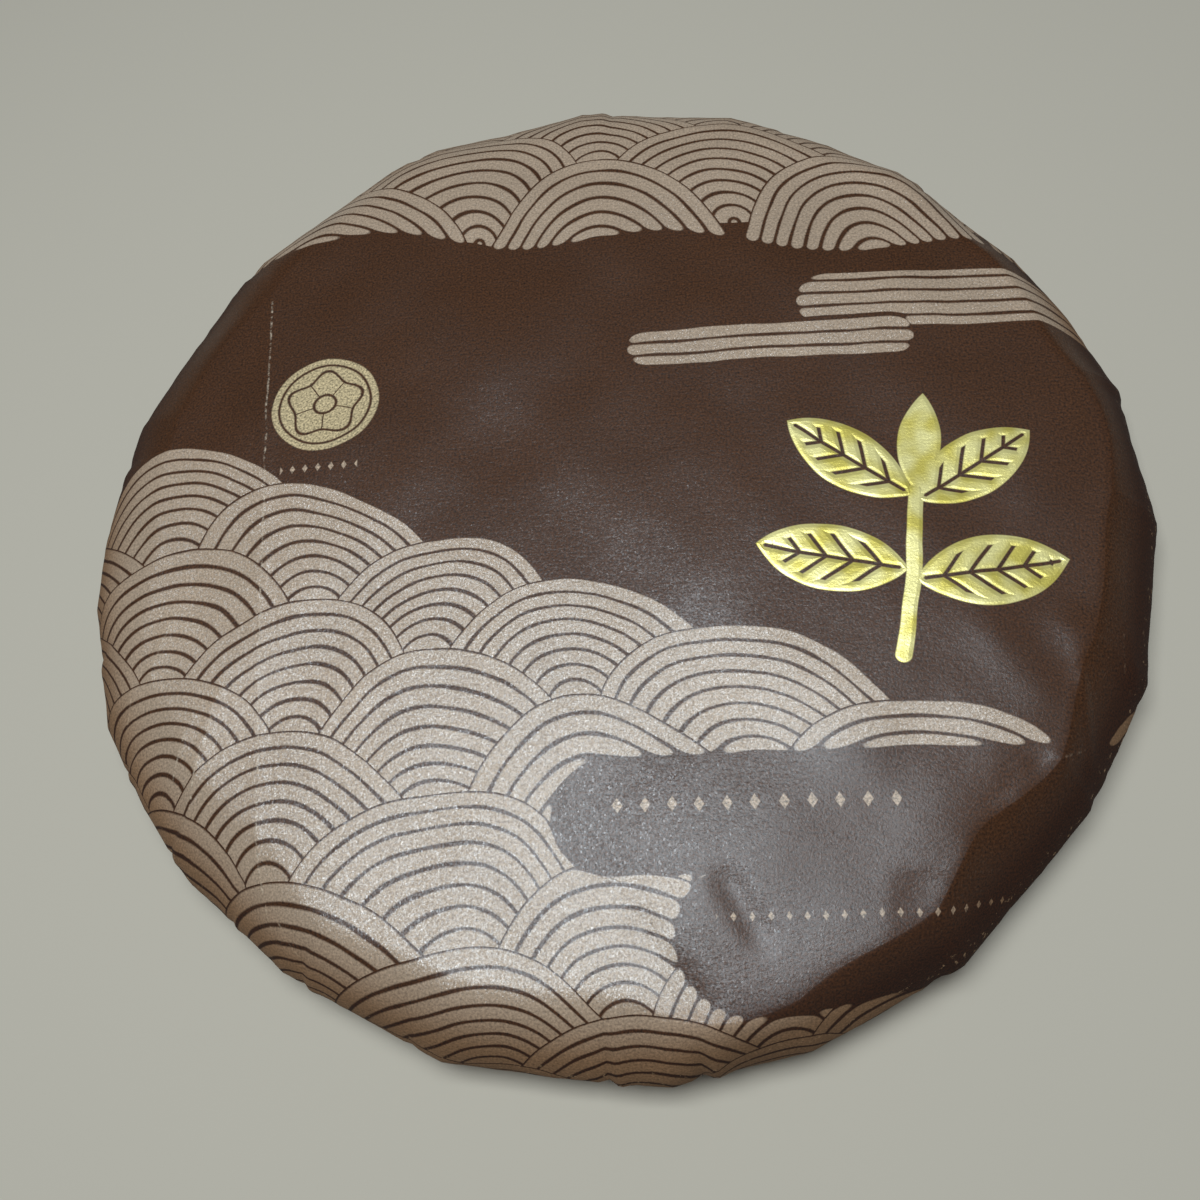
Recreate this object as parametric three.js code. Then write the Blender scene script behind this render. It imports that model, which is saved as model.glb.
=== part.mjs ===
// A pu erh tea cake shut in its printed paper wrapper, lying flat with its domed side up.
// Millimetres, +Z up. The origin is the middle of its footprint, on the surface that it lies on.
//
// The pressed cake is a disc with a gently domed top, a sloping shoulder and a round rim.
// The paper is drawn tight over it, so it turns over the rim in flat facets from corner to corner.
// Every second or third corner starts a pleat. Underneath, the pleats lie one on the next like the
// blades of an iris, and their straight edges run past the middle of the hollow that the press leaves,
// where the twisted end of the paper is pushed in.
import * as THREE from "three";

// The cake's section.
const HEIGHT = 27;
const RIM_RADIUS = 99;
const RIM_HEIGHT = 10.5; // of the widest line above the surface it lies on
const DOME_RADIUS = 84; // where the top turns down into the shoulder
const DOME_DROP = 3.4;
const SHOULDER_POWER = 1.55; // 2 is an elliptic shoulder and 1 a straight chamfer
const FOOT_RADIUS = 79; // the outside of the flat ring that it rests on
const HOLLOW_RADIUS = 31;
const HOLLOW_FLOOR = 8; // the radius of the hollow's flat middle
const HOLLOW_DEPTH = 9.5;

// The pleats, anticlockwise from +X. Each is a list of the rim's corners that it holds, and it starts
// at the first: the corner's angle in degrees and its distance from the middle.
const PLEATS = [
  [[12, 99.8], [22.5, 98.8]],
  [[32, 98.5], [49.5, 98.5]],
  [[59.5, 98.2], [72.5, 99.0]],
  [[92, 99.6], [111.5, 100.0]],
  [[118, 99.4], [138.5, 98.7]],
  [[144.5, 98.3]],
  [[165, 98.9], [179.5, 98.9]],
  [[188, 99.4], [202, 99.9]],
  [[212, 98.7], [222, 98.4]],
  [[235.5, 98.1]],
  [[253.5, 99.2], [264, 98.3]],
  [[275, 99.8], [288, 99.5]],
  [[304, 99.2]],
  [[323.5, 98.2], [338, 99.1]],
  [[356, 99.5]],
];
const PLEAT_STEP = 0.9; // how far one pleat's edge stands below the next one's root
const PLEAT_FLAT = 0.5; // the share of a pleat's width that lies flat on the surface
const PLEAT_MISS = 12; // how far from the middle the line of a pleat's edge passes
const MISS_VARIES = 1.2; // from one pleat to the next
const MISS_TURN = 2.4; // radians from one pleat to the next, so that no two like ones are neighbours
const LINE_ENDS = 1.3; // a pleat's line turns to the middle at this many times its miss
const EDGE_DEG = 0.9; // how much of the turn the step at a pleat's edge takes
const GATHER_STEP = 1.7; // the step where the pleats crowd together in the hollow
const KNOB_HEIGHT = 3.2; // of the twisted end of the paper, pushed flat in the hollow

// Where one form gives way to the next, as two distances from the middle.
const TOP_FACETS = [62, 96]; // from the round cake to the paper's flat facets
const UNDER_FACETS = [48, 96];
const GATHER = [39, 19];
const KNOB = [14, 3];
const WAVES_END = [92, 72];

// The soft waves of the paper over the pressed leaf: the longest one's height, and each one's length
// along X, its length along Y as a share of that, and how far round its start is.
const WAVE_HEIGHT = 0.28;
const WAVES = [
  { length: 61, across: 1.25, startX: 0, startY: 0 },
  { length: 37, across: 1.25, startX: 1.7, startY: -0.9 },
  { length: 23, across: 1.25, startX: 3.4, startY: -1.8 },
];

// How finely the surface is divided.
const COLUMNS = 5; // from one corner to the next, with the second just past the corner
const TOP_RINGS = [24, 44, 60, 72, 79];
const SHOULDER_RINGS = 7;
const LOWER_RINGS = 6;
const FOOT_RINGS = [70, 61, 52, 43, 36];
const HOLLOW_RINGS = [29, 24, 19, 14, 9, 5];

const TURN = 2 * Math.PI;

// 0 up to `from`, 1 past `to`, and smooth between them. `from` may be the larger.
function blend(x, from, to) {
  const t = THREE.MathUtils.clamp((x - from) / (to - from), 0, 1);
  return t * t * (3 - 2 * t);
}

// Every line of the surface that runs from the middle of the top over the rim to the middle underneath:
// its angle, the rim's distance there, and its place in its pleat.
function surfaceLines() {
  const corners = PLEATS.flatMap((pleat, index) => pleat.map(([deg, radius]) => ({ deg, radius, index })));
  return corners.flatMap((corner, i) => {
    const next = corners[(i + 1) % corners.length];
    const spanDeg = (next.deg - corner.deg + 360) % 360;
    const pleatDeg = PLEATS[corner.index][0][0];
    const pleatSpan = (PLEATS[(corner.index + 1) % PLEATS.length][0][0] - pleatDeg + 360) % 360;
    return Array.from({ length: COLUMNS }, (_, column) => {
      const onDeg = column === 0 ? 0 : EDGE_DEG + ((spanDeg - EDGE_DEG) * (column - 1)) / (COLUMNS - 1);
      const on = THREE.MathUtils.degToRad(onDeg);
      const span = THREE.MathUtils.degToRad(spanDeg);
      const chord = corner.radius * Math.sin(on) + next.radius * Math.sin(span - on);
      return {
        angle: THREE.MathUtils.degToRad(corner.deg) + on,
        rim: (corner.radius * next.radius * Math.sin(span)) / chord,
        pleat: corner.index,
        share: (corner.deg + onDeg - pleatDeg) / pleatSpan,
        edge: EDGE_DEG / pleatSpan,
      };
    });
  });
}

// How far from the middle the line of a pleat's edge passes.
function missOf(pleat) {
  return PLEAT_MISS + MISS_VARIES * Math.sin(MISS_TURN * (pleat % PLEATS.length));
}

// How far round from its corner a straight pleat line has come when it is this near the middle.
function leanAt(radius, miss) {
  return Math.asin(miss / Math.max(radius, miss * LINE_ENDS)) - Math.asin(miss / RIM_RADIUS);
}

// A quarter of a rounded corner, from (1, 0) to (0, 1). A power of 2 is a circle.
function roundedQuarter(share, power) {
  const a = (share * Math.PI) / 2;
  return new THREE.Vector2(Math.cos(a) ** (2 / power), Math.sin(a) ** (2 / power));
}

// The cake's section as points (radius, height), from the middle of the underside out and up to the middle of the top.
function sectionPoints() {
  const points = [new THREE.Vector2(0, HOLLOW_DEPTH)];
  for (const r of [...HOLLOW_RINGS].reverse()) {
    points.push(new THREE.Vector2(r, HOLLOW_DEPTH * blend(r, HOLLOW_RADIUS, HOLLOW_FLOOR)));
  }
  for (const r of [...FOOT_RINGS].reverse()) points.push(new THREE.Vector2(r, 0));
  for (let i = 0; i < LOWER_RINGS; i++) {
    const q = roundedQuarter(1 - i / LOWER_RINGS, 2);
    points.push(new THREE.Vector2(FOOT_RADIUS + (RIM_RADIUS - FOOT_RADIUS) * q.x, RIM_HEIGHT * (1 - q.y)));
  }
  const shoulderHeight = HEIGHT - DOME_DROP - RIM_HEIGHT;
  for (let i = 0; i <= SHOULDER_RINGS; i++) {
    const q = roundedQuarter(i / SHOULDER_RINGS, SHOULDER_POWER);
    points.push(new THREE.Vector2(DOME_RADIUS + (RIM_RADIUS - DOME_RADIUS) * q.x, RIM_HEIGHT + shoulderHeight * q.y));
  }
  for (const r of [...TOP_RINGS].reverse()) {
    points.push(new THREE.Vector2(r, HEIGHT - DOME_DROP * (r / DOME_RADIUS) ** 2));
  }
  points.push(new THREE.Vector2(0, HEIGHT));
  return points;
}

// The height of the paper's soft waves at a place on the top.
function waveHeight(x, y) {
  return WAVES.reduce((sum, { length, across, startX, startY }, i) => {
    const alongX = Math.sin((TURN * x) / length + startX);
    const alongY = Math.cos((TURN * y) / (length * across) + startY);
    return sum + (WAVE_HEIGHT / (i + 1)) * alongX * alongY;
  }, 0);
}

// How far a pleat's surface rises into the cake, from 0 at its flat part to 1 where the next pleat covers it.
function pleatRise(share, edge) {
  if (share < edge) return 1 - share / edge;
  return share < PLEAT_FLAT ? 0 : (share - PLEAT_FLAT) / (1 - PLEAT_FLAT);
}

// Moves one point of the round section to where the paper lies along one line of the surface.
function place(section, underneath, line) {
  const { x: radius, y: height } = section;
  const facet = blend(radius, ...(underneath ? UNDER_FACETS : TOP_FACETS));
  const r = radius * THREE.MathUtils.lerp(1, line.rim / RIM_RADIUS, facet);
  const miss = THREE.MathUtils.lerp(missOf(line.pleat), missOf(line.pleat + 1), line.share);
  const angle = line.angle + (underneath ? leanAt(radius, miss) : 0);
  const x = r * Math.cos(angle);
  const y = r * Math.sin(angle);
  if (!underneath) return [x, y, height + waveHeight(x, y) * blend(radius, ...WAVES_END)];
  const step = THREE.MathUtils.lerp(PLEAT_STEP, GATHER_STEP, blend(radius, ...GATHER));
  const shown = blend(radius, 0, HOLLOW_FLOOR) * blend(radius, RIM_RADIUS, FOOT_RADIUS);
  const knob = KNOB_HEIGHT * blend(radius, ...KNOB);
  return [x, y, height + step * shown * pleatRise(line.share, line.edge) - knob];
}

// The wrapped cake: a turned section whose points are then moved on to the folded paper.
function wrappedCake() {
  const section = sectionPoints();
  const rimRow = HOLLOW_RINGS.length + FOOT_RINGS.length + LOWER_RINGS + 1;
  const lines = surfaceLines();
  const geometry = new THREE.LatheGeometry(section, lines.length);
  const position = geometry.getAttribute("position");
  for (let i = 0; i <= lines.length; i++) {
    section.forEach((point, j) => {
      position.setXYZ(i * section.length + j, ...place(point, j < rimRow, lines[i % lines.length]));
    });
  }
  geometry.computeBoundingBox();
  const middle = geometry.boundingBox.getCenter(new THREE.Vector3());
  geometry.translate(-middle.x, -middle.y, -geometry.boundingBox.min.z);
  geometry.computeVertexNormals();
  return geometry;
}

const paper = new THREE.MeshStandardMaterial({ color: 0x4a3028, roughness: 0.55, metalness: 0 });
const cake = new THREE.Mesh(wrappedCake(), paper);
cake.name = "wrapped_cake";

const part = new THREE.Group();
part.add(cake);

export default part;
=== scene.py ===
"""The looks of a pu erh tea cake shut in its printed paper wrapper, built round its solid model.

The cake lies flat with its domed side up. Its paper is one sheet: it lies over the dome, turns over the rim
in flat facets, and is folded underneath into pleats whose edges run past the middle of a hollow, where the
twisted end of the sheet is pushed in. The print follows the sheet, so it breaks where the sheet is folded.

Metres, +Z up, +Y towards the top of the print. The origin is the middle of the footprint.
"""

import logging
import math
from dataclasses import dataclass, field
from enum import Enum
from typing import ClassVar

import bmesh
import bpy
from mathutils import Matrix, Vector, noise

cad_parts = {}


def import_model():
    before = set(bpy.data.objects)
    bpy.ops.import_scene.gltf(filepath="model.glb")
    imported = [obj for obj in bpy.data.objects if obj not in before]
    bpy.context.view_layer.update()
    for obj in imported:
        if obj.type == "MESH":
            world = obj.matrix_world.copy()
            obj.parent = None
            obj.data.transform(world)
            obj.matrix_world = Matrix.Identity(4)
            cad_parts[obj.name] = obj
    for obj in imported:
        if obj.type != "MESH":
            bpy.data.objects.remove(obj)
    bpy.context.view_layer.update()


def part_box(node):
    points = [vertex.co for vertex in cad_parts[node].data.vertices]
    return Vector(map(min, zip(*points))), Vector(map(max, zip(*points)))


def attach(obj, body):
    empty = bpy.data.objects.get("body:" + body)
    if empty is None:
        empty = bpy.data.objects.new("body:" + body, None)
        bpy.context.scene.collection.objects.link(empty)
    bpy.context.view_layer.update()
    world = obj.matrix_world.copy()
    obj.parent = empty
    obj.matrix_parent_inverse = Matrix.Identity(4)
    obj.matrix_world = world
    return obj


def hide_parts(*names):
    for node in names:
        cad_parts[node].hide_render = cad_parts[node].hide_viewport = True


LOG = logging.getLogger("tea_cake")
Tree = bpy.types.NodeTree
Socket = bpy.types.NodeSocket
Places = dict[bmesh.types.BMVert, tuple[int, int]]  # each vertex's ring and line of the sheet

MM = 0.001
NODE = "wrapped_cake"
BODY = "root"
SHEET_MM = 420.0  # the side of the square of paper that the print is laid out on

# The pleats, anticlockwise from +X. Each is a list of the rim's corners that it holds, and it starts at the
# first: the corner's angle in degrees and its distance from the middle in millimetres.
PLEATS = (
    ((12, 99.8), (22.5, 98.8)),
    ((32, 98.5), (49.5, 98.5)),
    ((59.5, 98.2), (72.5, 99.0)),
    ((92, 99.6), (111.5, 100.0)),
    ((118, 99.4), (138.5, 98.7)),
    ((144.5, 98.3),),
    ((165, 98.9), (179.5, 98.9)),
    ((188, 99.4), (202, 99.9)),
    ((212, 98.7), (222, 98.4)),
    ((235.5, 98.1),),
    ((253.5, 99.2), (264, 98.3)),
    ((275, 99.8), (288, 99.5)),
    ((304, 99.2),),
    ((323.5, 98.2), (338, 99.1)),
    ((356, 99.5),),
)


def blend(x: float, start: float, end: float) -> float:
    """Gives a smooth step.

    Args:
        x: where to read it.
        start: 0 up to here. It may be the larger of the two.
        end: 1 from here on.

    Returns:
        The step's height at x.
    """
    t = min(max((x - start) / (end - start), 0.0), 1.0)
    return t * t * (3 - 2 * t)


def lerp(a: float, b: float, share: float) -> float:
    """Returns the value at a share of the way from a to b."""
    return a + (b - a) * share


def pleat_span(pleat: int) -> tuple[float, float]:
    """Returns the angle where a pleat starts and how far round it goes, in radians."""
    start, after = (math.radians(PLEATS[n % len(PLEATS)][0][0]) for n in (pleat, pleat + 1))
    return start, (after - start) % math.tau


def turn_between(angle: float, other: float) -> float:
    """Returns how far round angle is from other, from minus half a turn to half a turn."""
    return math.remainder(angle - other, math.tau)


def linear(code: str) -> tuple[float, float, float, float]:
    """Turns a colour to what the shaders read.

    Args:
        code: an sRGB colour as six hex digits after a hash sign.

    Returns:
        The linear red, green and blue, and an alpha of 1.
    """
    channels = [int(code[i:i + 2], 16) / 255 for i in (1, 3, 5)]
    straight = [c / 12.92 if c <= 0.04045 else ((c + 0.055) / 1.055) ** 2.4 for c in channels]
    return (*straight, 1.0)


def add_node(tree: Tree, kind: str, feeds: dict | tuple = (), output: int | str = 0,
             **settings: object) -> Socket:
    """Adds a shader node with its settings and links.

    Args:
        tree: the material's node tree.
        kind: the node's type, without the word ShaderNode before it.
        feeds: what goes into its inputs, in order or by their names or numbers: sockets or plain values.
        output: the name or number of the output to give back.
        settings: the node's properties.

    Returns:
        The chosen output.
    """
    node = tree.nodes.new("ShaderNode" + kind)
    for name, value in settings.items():
        setattr(node, name, value)
    pairs = feeds.items() if isinstance(feeds, dict) else enumerate(feeds)
    for key, feed in pairs:
        if isinstance(feed, Socket):
            tree.links.new(feed, node.inputs[key])
        elif feed is not None:
            node.inputs[key].default_value = feed
    return node.outputs[output]


@dataclass(frozen=True)
class PaperLine:
    """One line of the sheet, from the middle of the top over the rim to the middle underneath.

    The angle is in radians from +X where the line crosses the rim, and rim is how far out it crosses.
    """

    angle: float
    rim: float
    pleat: int
    share: float
    rise: float
    is_fold: bool


@dataclass(frozen=True)
class Ring:
    """One ring of the cake: its radius and height, its outward direction, and the paper's run to it."""

    radius: float
    height: float
    out: float
    up: float
    run: float
    is_under: bool


@dataclass(frozen=True)
class FoldLine:
    """A straight fold, crease or dent of the sheet, in millimetres: its ends on the top, and what it left.

    The ridge is below 0 for a dent. Fall is how steeply the paper to the left of the line slopes away, over
    fall_reach. Wear is how much of the ink is rubbed off, and it all fades out over ends, past the line.
    """

    start: tuple[float, float]
    end: tuple[float, float]
    ridge: float
    fall: float = 0.0
    wear: float = 0.0
    width: float = 0.7
    ends: float = 12.0
    fall_reach: float = 16.0
    RIM_FADE: ClassVar[tuple[float, float]] = (97.0, 86.0)

    def relief(self, place: Vector) -> float:
        """Gives the ridge that the fold left, and the slope beside it.

        Args:
            place: where it is read, in metres.

        Returns:
            The height to add, in metres.
        """
        along = Vector(self.end) - Vector(self.start)
        length = along.length
        along.normalize()
        reach = place.xy / MM - Vector(self.start)
        run = reach.dot(along)
        past = max(-run, run - length, 0.0)
        aside = along.x * reach.y - along.y * reach.x
        if past > self.ends or aside < -3 * self.width:
            return 0.0
        ridge = self.ridge * math.exp(-((aside / self.width) ** 2))
        slope = self.fall * min(max(aside, 0.0), self.fall_reach)
        slope *= blend(place.xy.length / MM, *self.RIM_FADE)
        return MM * (ridge - slope) * blend(past, self.ends, 0.0)


@dataclass(frozen=True)
class Tuck:
    """A tuck in the paper at the rim: where it lies, how far out it starts, its depth and its width."""

    degrees: float
    start: float
    depth: float
    width: float
    LINES: ClassVar[tuple[float, ...]] = (-1.9, -1.25, -0.8, -0.45, -0.15, 0.15, 0.5, 0.95, 1.5, 2.2)

    def height(self, aside: float) -> float:
        """Gives the tuck's section: a narrow hollow, and the ridge of slack paper beside it.

        Args:
            aside: how far it is to the left of the fold, in metres.

        Returns:
            The height as a share of the tuck's depth.
        """
        hollow = math.exp(-((aside / self.width + 0.45) / 0.42) ** 2)
        ridge = math.exp(-((aside / self.width - 0.45) / 0.6) ** 2)
        return 0.55 * ridge - 0.7 * hollow


FOLD_LINES = (
    FoldLine((-56.2, -79.0), (-65.5, 48.0), 0.12, 0.050, 1.0, fall_reach=22),
    FoldLine((-71.1, -55.0), (-67.1, -37.8), 0.24, 0.014, 1.0, ends=6, fall_reach=6),
    FoldLine((-74.8, -51.0), (-72.2, -42.0), 0.20, wear=0.9, ends=4),
    FoldLine((-80.0, -30.0), (-77.5, -21.0), 0.18, wear=0.6, width=1.0, ends=4),
    FoldLine((-86.5, -42.0), (-84.0, -34.0), 0.12, wear=0.9, ends=3),
    FoldLine((-51.5, -81.0), (-54.5, -74.5), 0.12, wear=0.9, ends=3),
    FoldLine((77.4, -35.0), (78.1, -52.0), 0.22, 0.035, ends=5, fall_reach=8),
    FoldLine((77.9, -51.8), (73.3, -52.6), 0.20, wear=0.3, ends=3),
    FoldLine((88.0, -31.6), (88.0, -38.7), 0.20, wear=0.25, width=1.2, ends=4),
    FoldLine((43.9, -70.7), (42.1, -80.0), 0.08, 0.075, ends=3, fall_reach=5),
    FoldLine((62.1, -56.2), (62.2, -65.0), 0.08, 0.060, ends=4, fall_reach=4),
)

DENTS = (
    FoldLine((19.2, -71.2), (22.8, -77.8), -0.45, width=2.4, ends=5),
    FoldLine((4.9, -76.5), (7.1, -81.1), -0.40, width=2.2, ends=5),
    FoldLine((68.1, -54.0), (59.7, -64.5), -0.40, width=3.2, ends=5),
    FoldLine((66.0, -55.4), (64.8, -59.3), 0.30, width=1.6, ends=4),
    FoldLine((63.7, -32.5), (70.3, -41.5), 0.40, width=4.5, ends=8),
    FoldLine((76.5, -31.0), (79.0, -33.0), 0.35, width=3.5, ends=4),
    FoldLine((10.5, -84.0), (14.3, -89.0), -0.45, width=2.0, ends=4),
)

TUCKS = (
    Tuck(88.6, 0.076, 0.0006, 0.0026),
    Tuck(46.1, 0.083, 0.0005, 0.0022),
    Tuck(10.8, 0.083, 0.0004, 0.0028),
    Tuck(-23.7, 0.084, 0.0002, 0.0026),
    Tuck(-34.5, 0.080, 0.0003, 0.0030),
    Tuck(-58.0, 0.088, 0.0004, 0.0026),
    Tuck(269.9, 0.084, 0.0009, 0.0022),
    Tuck(278.6, 0.086, 0.0010, 0.0026),
    Tuck(251.0, 0.088, 0.0004, 0.0024),
    Tuck(238.5, 0.084, 0.0005, 0.0020),
    Tuck(228.5, 0.087, 0.0004, 0.0017),
    Tuck(218.5, 0.084, 0.0005, 0.0019),
    Tuck(208.0, 0.088, 0.0004, 0.0018),
    Tuck(195.0, 0.087, 0.0004, 0.0022),
    Tuck(171.0, 0.088, 0.0004, 0.0026),
    Tuck(141.5, 0.085, 0.0004, 0.0024),
    Tuck(115.0, 0.087, 0.0004, 0.0024),
    Tuck(66.0, 0.088, 0.0004, 0.0024),
)


@dataclass
class CakeForm:
    """The wrapped cake's form, with the solid model's sizes and formulas, drawn finer."""

    height: float
    rim_radius: float = 99 * MM
    rim_height: float = 10.5 * MM
    dome_radius: float = 84 * MM
    dome_drop: float = 3.4 * MM  # at the dome's radius
    # How much farther out the shoulder starts on the side that is drawn tightest, and again over a short
    # stretch that is pressed flat. Each range is the cosine of the turn away from the middle of the side.
    tight_reach: float = 4 * MM
    tight_towards: float = math.radians(-20)
    tight_range: tuple[float, float] = (-0.7, 0.6)
    flat_reach: float = 3.6 * MM
    flat_towards: float = math.radians(-67)
    flat_range: tuple[float, float] = (0.93, 1.0)
    # Waves of the shoulder's start: how far it moves, how many go round, and where the first one begins.
    uneven: tuple[tuple[float, int, float], ...] = ((1.3 * MM, 9, 1.1), (0.8 * MM, 17, 0.0))
    soft_shoulder: float = 1.55  # 2 is an elliptic shoulder and 1 a straight chamfer
    crisp_shoulder: float = 1.25
    crisp_towards: float = math.radians(-8)
    crisp_range: tuple[float, float] = (0.1, 0.85)
    foot_radius: float = 79 * MM
    hollow_radius: float = 31 * MM
    hollow_floor: float = 8 * MM
    hollow_depth: float = 9.5 * MM
    ring_step: float = 1.4 * MM
    foot_step: float = 1.82 * MM
    hollow_step: float = 1.12 * MM
    shoulder_rings: int = 26
    lower_rings: int = 22
    line_step: float = math.radians(0.8)
    lip: float = math.radians(0.36)
    lip_lines: int = 3
    flat_share: float = 0.5

    def rings(self) -> list[Ring]:
        """Returns the cake's rings, from the middle of the top over the rim to the middle underneath."""
        points = []
        count = round(self.dome_radius / self.ring_step)
        for i in range(count + 1):
            radius = self.dome_radius * i / count
            points.append((radius, self.dome_height(radius), False))
        for i in range(1, self.shoulder_rings + 1):
            point = self.shoulder_point(i / self.shoulder_rings, self.soft_shoulder, self.dome_radius)
            points.append((*point, False))
        for i in range(1, self.lower_rings + 1):
            turn = math.pi / 2 * i / self.lower_rings
            radius = lerp(self.foot_radius, self.rim_radius, math.cos(turn))
            points.append((radius, self.rim_height * (1 - math.sin(turn)), True))
        count = round((self.foot_radius - self.hollow_radius) / self.foot_step)
        for i in range(1, count + 1):
            points.append((lerp(self.foot_radius, self.hollow_radius, i / count), 0.0, True))
        count = round(self.hollow_radius / self.hollow_step)
        for i in range(1, count + 1):
            radius = self.hollow_radius * (1 - i / count)
            height = self.hollow_depth * blend(radius, self.hollow_radius, self.hollow_floor)
            points.append((radius, height, True))
        return self.with_directions(points)

    def dome_height(self, radius: float) -> float:
        """Returns the height of the domed top at a distance from the middle."""
        return self.height - self.dome_drop * (radius / self.dome_radius) ** 2

    def shoulder_start(self, angle: float) -> float:
        """Gives how far from the middle the dome turns down into the shoulder in one direction.

        Args:
            angle: the direction, in radians from +X.

        Returns:
            The distance.
        """
        tight = blend(math.cos(angle - self.tight_towards), *self.tight_range)
        pressed = blend(math.cos(angle - self.flat_towards), *self.flat_range)
        uneven = sum(far * math.sin(count * angle + start) for far, count, start in self.uneven)
        return self.dome_radius + self.tight_reach * tight + self.flat_reach * pressed + uneven

    def shoulder_point(self, share: float, power: float, start: float) -> tuple[float, float]:
        """Gives a point of the shoulder's section.

        Args:
            share: how far down it is from the dome's edge to the rim.
            power: how round the shoulder is.
            start: how far from the middle it begins.

        Returns:
            The point's radius and height.
        """
        turn = math.pi / 2 * (1 - share)
        out = max(math.cos(turn), 0.0) ** (2 / power)
        up = max(math.sin(turn), 0.0) ** (2 / power)
        top = self.dome_height(start) - self.rim_height
        return lerp(start, self.rim_radius, out), self.rim_height + top * up

    @staticmethod
    def with_directions(points: list[tuple[float, float, bool]]) -> list[Ring]:
        """Turns the section's points to rings.

        Args:
            points: each point's radius, height, and whether it is underneath.

        Returns:
            The rings, with the direction that each faces and the paper's run to it.
        """
        rings, run = [], 0.0
        for i, (radius, height, is_under) in enumerate(points):
            before, after = points[max(i - 1, 0)], points[min(i + 1, len(points) - 1)]
            along = Vector((after[0] - before[0], after[1] - before[1])).normalized()
            if i:
                run += math.hypot(radius - before[0], height - before[1])
            rings.append(Ring(radius, height, -along.y, along.x, run, is_under))
        return rings

    def paper_lines(self) -> list[PaperLine]:
        """Returns the sheet's lines, anticlockwise, closest together where one pleat's folded edge lies."""
        corners = [(math.radians(deg), radius * MM, pleat)
                   for pleat, held in enumerate(PLEATS) for deg, radius in held]
        lines = []
        for i, (angle, radius, pleat) in enumerate(corners):
            next_angle, next_radius, _ = corners[(i + 1) % len(corners)]
            span = (next_angle - angle) % math.tau
            start, width = pleat_span(pleat)
            for on in self.sector_steps(angle, span):
                share = (angle + on - start) / width
                chord = radius * math.sin(on) + next_radius * math.sin(span - on)
                rim = radius * next_radius * math.sin(span) / chord
                is_fold = on == 0 and angle == start
                rise = self.pleat_rise(share * width, share)
                lines.append(PaperLine(angle + on, rim, pleat, share, rise, is_fold))
        return lines

    def sector_steps(self, angle: float, span: float) -> list[float]:
        """Spaces the lines of one facet: evenly, and closer at the lip of a pleat and at each tuck.

        Args:
            angle: where the facet starts.
            span: how far round it goes.

        Returns:
            Each line's turn from the facet's start, rising.
        """
        even = max(round((span - self.lip) / self.line_step), 2)
        steps = [self.lip * k / self.lip_lines for k in range(self.lip_lines)]
        steps += [self.lip + (span - self.lip) * k / even for k in range(even)]
        for tuck in TUCKS:
            middle = (math.radians(tuck.degrees) - angle) % math.tau
            near = [middle + aside * tuck.width / self.rim_radius for aside in tuck.LINES]
            if near[0] > self.lip and near[-1] < span:
                first, last = near[0] - self.lip / 3, near[-1] + self.lip / 3
                steps = [on for on in steps if not first < on < last] + near
        return sorted(steps)

    def pleat_rise(self, on: float, share: float) -> float:
        """Gives how far a pleat's paper stands into the cake.

        Args:
            on: how far round it is from the pleat's folded edge.
            share: the same as a share of the pleat's width.

        Returns:
            0 where the paper lies flat outside, and 1 where the next pleat covers it.
        """
        if on < self.lip:
            return (1 - on / self.lip) ** 2
        return max(share - self.flat_share, 0.0) / (1 - self.flat_share)


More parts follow.
